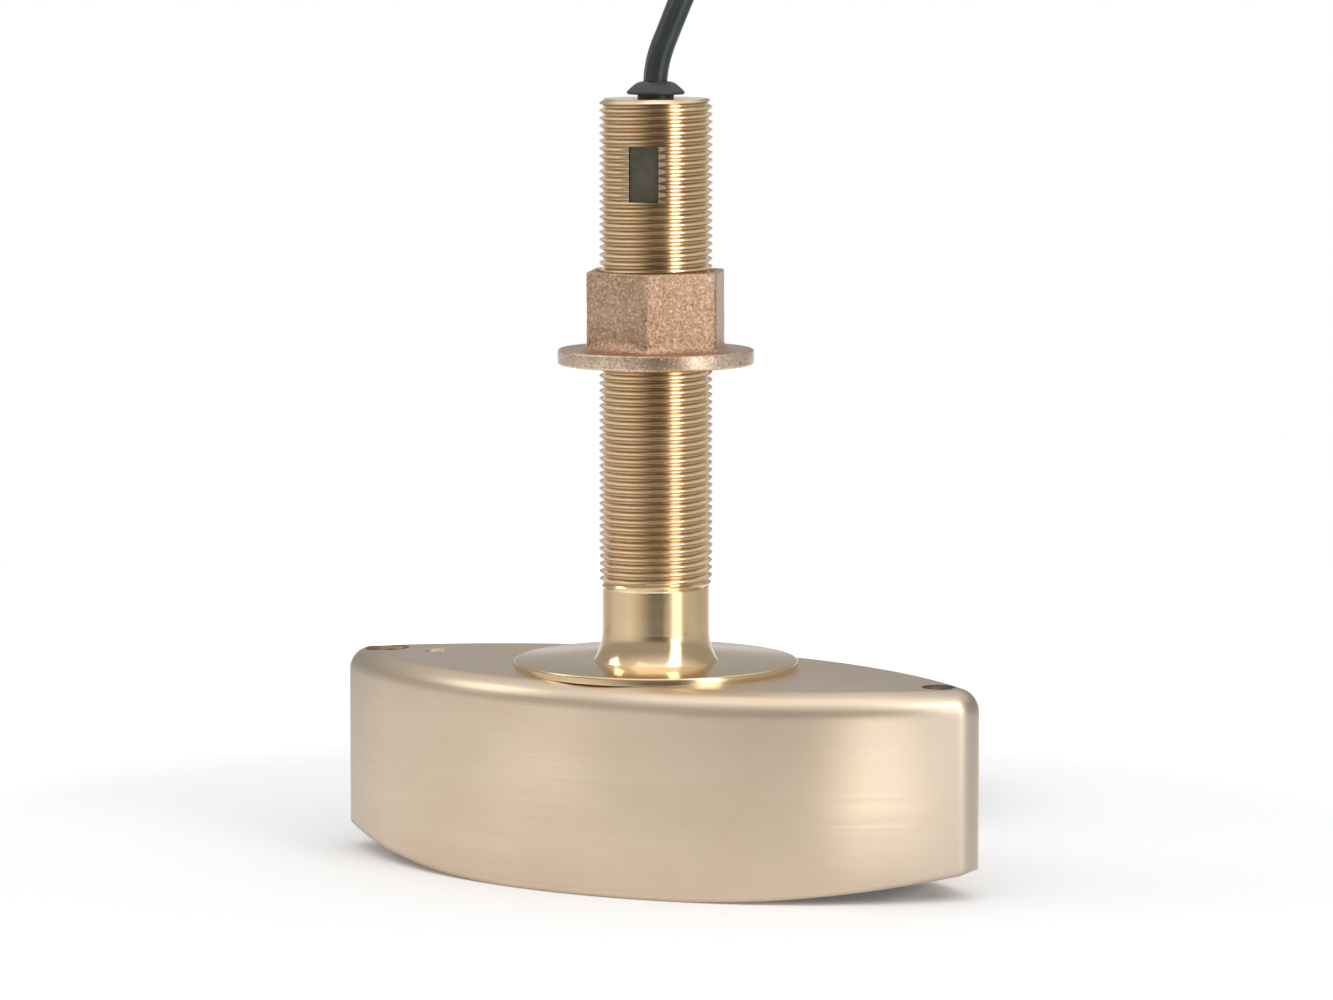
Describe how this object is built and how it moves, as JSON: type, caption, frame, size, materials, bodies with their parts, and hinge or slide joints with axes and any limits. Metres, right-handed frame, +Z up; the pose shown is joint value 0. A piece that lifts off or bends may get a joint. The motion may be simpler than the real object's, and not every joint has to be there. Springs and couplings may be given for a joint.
{
  "type": "sonar transducer",
  "caption": "Bronze through-hull sonar transducer: lens-shaped housing with an acoustic window below, a threaded stem with a flanged hull nut, and a cable with its plug.",
  "frame": {"origin": "on the stem's axis, where the flat middle of the underside rests on the floor", "axes": "+Z up along the stem, +X along the housing's long axis towards the end with a single hole, +Y across it"},
  "size_m": [0.2169, 0.233, 0.2882],
  "materials": {
    "housing_bronze": "satin, brushed along the walls",
    "stem_bronze": "turned, bright",
    "nut_bronze": "as cast, with a turned rim",
    "grey_rubber": "moulded, satin",
    "window_urethane": "cast urethane, satin",
    "piezo_ceramic": "fired, silvered faces",
    "cork": "pressed cork",
    "board": "laminate",
    "ferrite": "sintered",
    "enamelled_copper": "enamelled wire",
    "steel": "turned",
    "red_wire": "insulation",
    "white_wire": "insulation",
    "yellow_wire": "insulation",
    "potting": "cast compound",
    "cable_jacket": "extruded, satin",
    "tie_strap": "woven strap",
    "black_plastic": "moulded",
    "contact_brass": "plated"
  },
  "bodies": {
    "transducer": {"housing": "housing_bronze", "stem": "stem_bronze", "stem_seal": "grey_rubber", "filler_plug": "stem_bronze", "acoustic_window": "window_urethane", "low_frequency_ceramic": "piezo_ceramic", "low_frequency_sleeve": "cork", "low_frequency_backing": "cork", "high_frequency_holder": "cork", "high_frequency_ceramic_1": "piezo_ceramic", "high_frequency_ceramic_2": "piezo_ceramic", "high_frequency_ceramic_3": "piezo_ceramic", "high_frequency_ceramic_4": "piezo_ceramic", "high_frequency_ceramic_5": "piezo_ceramic", "high_frequency_ceramic_6": "piezo_ceramic", "high_frequency_ceramic_7": "piezo_ceramic", "high_frequency_backing": "cork", "tuning_board": "board", "transformer_core": "ferrite", "transformer_winding": "enamelled_copper", "temperature_sensor": "steel", "low_frequency_wire": "red_wire", "high_frequency_wire": "white_wire", "sensor_wire": "yellow_wire", "housing_potting": "potting", "stem_potting": "potting", "cable_root": "cable_jacket", "cable_grommet": "grey_rubber", "cable_lead": "cable_jacket", "cable_coil": "cable_jacket", "cable_tail": "cable_jacket", "coil_tie_1": "tie_strap", "coil_tie_2": "tie_strap", "plug_body": "grey_rubber", "plug_shell": "steel", "plug_insert": "black_plastic", "plug_pins": "contact_brass"},
    "nut": {"hull_nut": "nut_bronze"}
  },
  "joints": [
    {"name": "nut_travel", "type": "slide", "parent": "transducer", "child": "nut", "axis": [0, 0, 1], "range_m": [-0.061, 0.047]}
  ]
}
